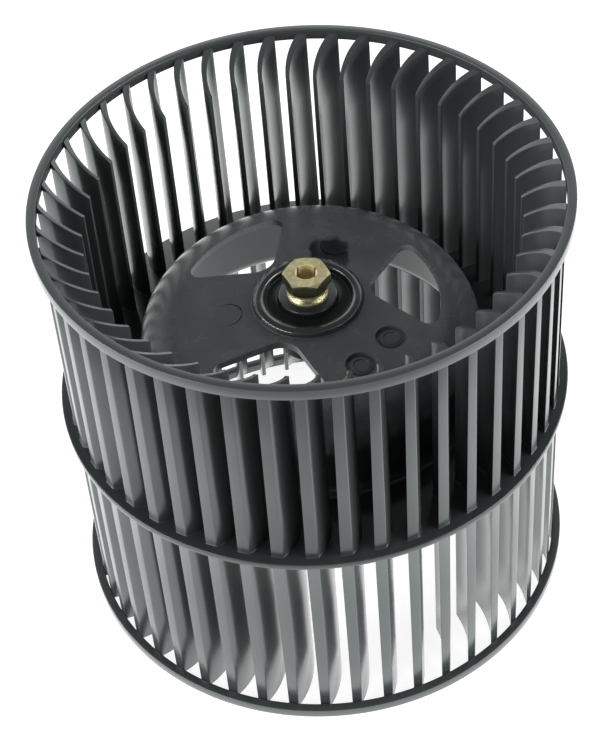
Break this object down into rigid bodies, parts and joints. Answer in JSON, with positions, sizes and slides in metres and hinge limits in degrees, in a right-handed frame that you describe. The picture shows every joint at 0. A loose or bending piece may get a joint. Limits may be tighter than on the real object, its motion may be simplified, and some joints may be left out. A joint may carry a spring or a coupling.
{
  "type": "centrifugal fan impeller",
  "caption": "Double-inlet forward-curved centrifugal impeller: one plastic wheel with two blade tiers, a raised windowed web and a brass hexagon hub insert.",
  "frame": {"origin": "centre of the underside, on the shaft's axis", "axes": "+Z along the shaft's axis, towards the hub's hexagon head; the picture's camera stands on the -Y side"},
  "size_m": [0.15, 0.15, 0.141],
  "materials": {
    "wheel_plastic": "satin moulded",
    "insert_brass": "turned"
  },
  "bodies": {
    "root": {"impeller_wheel": "wheel_plastic", "hub_insert": "insert_brass"}
  },
  "joints": []
}
